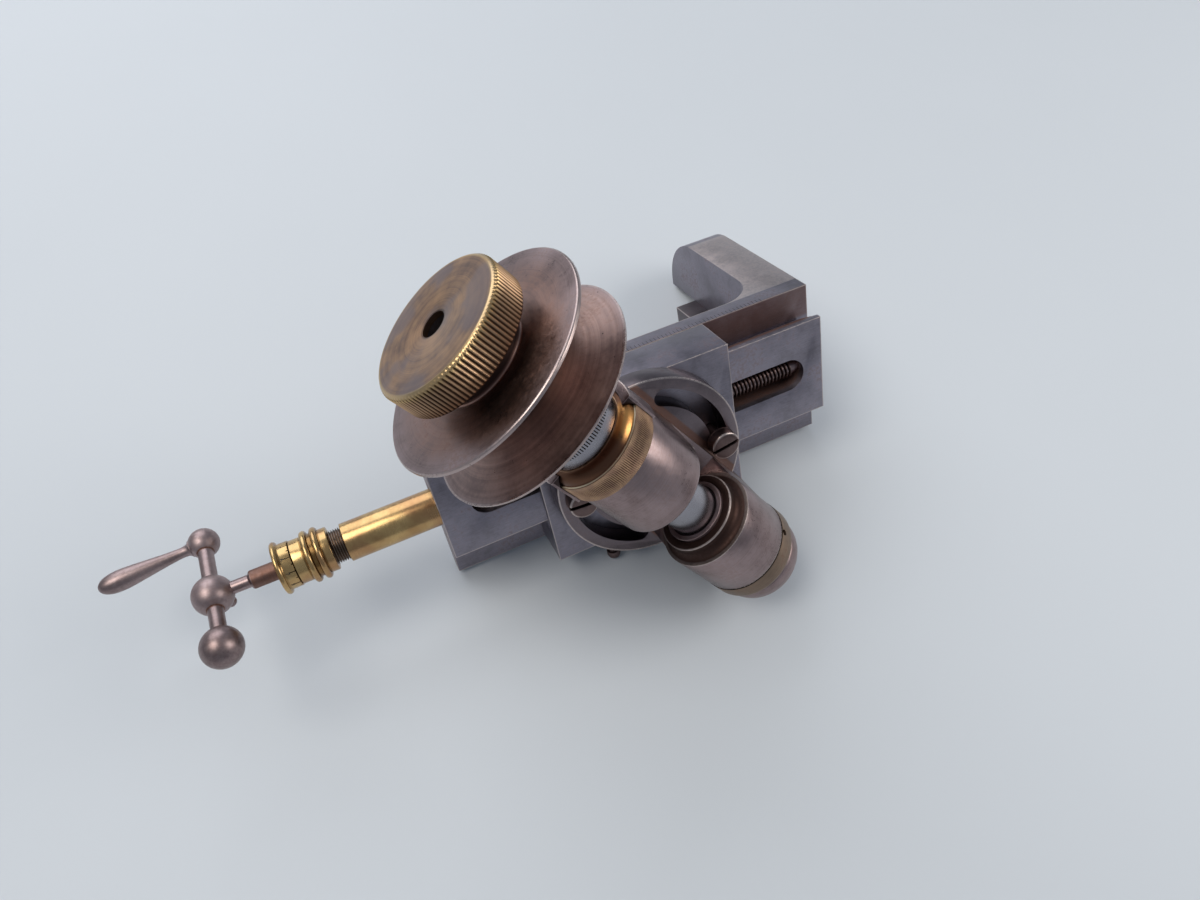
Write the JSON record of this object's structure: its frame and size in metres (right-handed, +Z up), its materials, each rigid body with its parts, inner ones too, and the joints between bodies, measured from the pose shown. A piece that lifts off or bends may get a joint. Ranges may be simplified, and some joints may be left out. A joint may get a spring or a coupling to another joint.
{
  "type": "lathe milling attachment",
  "caption": "Small milling spindle on a swivelling head and a screw-fed slide, with grooved pulley, draw knob, ball handle and an L-shaped bracket.",
  "frame": {"origin": "under the middle of the whole, on the surface it rests on", "axes": "+X along the bed, away from the ball handle; +Y to the rear, where the bracket's arm reaches; +Z up. The attachment leans back 26 degrees about X, as it lies on the bench."},
  "size_m": [0.1718, 0.1002, 0.0949],
  "materials": {
    "bed_steel": "brushed, slightly worn",
    "bracket_steel": "brushed, aged",
    "dark_steel": "dark, aged",
    "screw_steel": "worn",
    "tube_brass": "satin, drawn",
    "gland_brass": "satin, worn",
    "saddle_steel": "fine ground",
    "nut_brass": "machined",
    "head_steel": "satin with bright worn edges",
    "bush_steel": "bright",
    "ring_bronze": "golden brown, knurled",
    "end_ring_steel": "dull, tan",
    "spindle_steel": "polished",
    "pulley_steel": "satin with rust spots",
    "collar_steel": "bright, with engraved ticks",
    "nose_steel": "satin",
    "knob_brass": "aged, turned face and knurled rim",
    "shaft_steel": "turned",
    "handle_steel": "satin, speckled"
  },
  "bodies": {
    "base": {"bed": "bed_steel", "bracket": "bracket_steel", "clamp_block": "dark_steel", "bed_screws": "screw_steel", "block_screws": "screw_steel", "screw_tube": "tube_brass", "threaded_bush": "dark_steel", "gland_nut": "gland_brass"},
    "carriage": {"saddle": "saddle_steel", "gib_strip": "bed_steel", "gib_screws": "screw_steel", "gib_locknuts": "screw_steel", "feed_nut": "nut_brass", "nut_screws": "screw_steel", "pivot_screw": "screw_steel", "clamp_screws": "screw_steel", "clamp_washers": "screw_steel"},
    "head": {"spindle_head": "head_steel", "front_bush": "bush_steel", "rear_bush": "bush_steel", "adjusting_ring": "ring_bronze", "end_ring": "end_ring_steel"},
    "rotor": {"spindle": "spindle_steel", "pulley_front_half": "pulley_steel", "pulley_rear_half": "pulley_steel", "pulley_screw": "screw_steel", "index_collar": "collar_steel", "nose_cap": "nose_steel"},
    "draw": {"drawbar": "bush_steel", "draw_knob": "knob_brass"},
    "feed": {"leadscrew": "shaft_steel", "dial": "gland_brass", "ball_handle": "handle_steel", "crank_grip": "handle_steel", "hub_screw": "screw_steel"}
  },
  "joints": [
    {"name": "saddle_slide", "type": "slide", "parent": "base", "child": "carriage", "axis": [1, 0, 0], "range_m": [-0.022, 0.03]},
    {"name": "head_swivel", "type": "hinge", "parent": "carriage", "child": "head", "pos_m": [0.03277, -0.01483, 0.02712], "axis": [0, -0.8988, 0.4384], "range_deg": [-69, 2]},
    {"name": "spindle_turn", "type": "hinge", "parent": "head", "child": "rotor", "pos_m": [0.03277, -0.0293, 0.03418], "axis": [0.5534, -0.3651, -0.7486], "continuous": true},
    {"name": "drawbar_turn", "type": "hinge", "parent": "rotor", "child": "draw", "pos_m": [-0.00044, -0.00739, 0.07909], "axis": [0.5534, -0.3651, -0.7486], "continuous": true},
    {"name": "feed_screw_turn", "type": "hinge", "parent": "base", "child": "feed", "pos_m": [-0.04443, -0.00581, 0.02784], "axis": [1, 0, 0], "range_deg": [-10801, 7921]}
  ],
  "couplings": [
    {"joint": "feed_screw_turn", "follows": "saddle_slide", "rad_per_m": -6283.2}
  ]
}
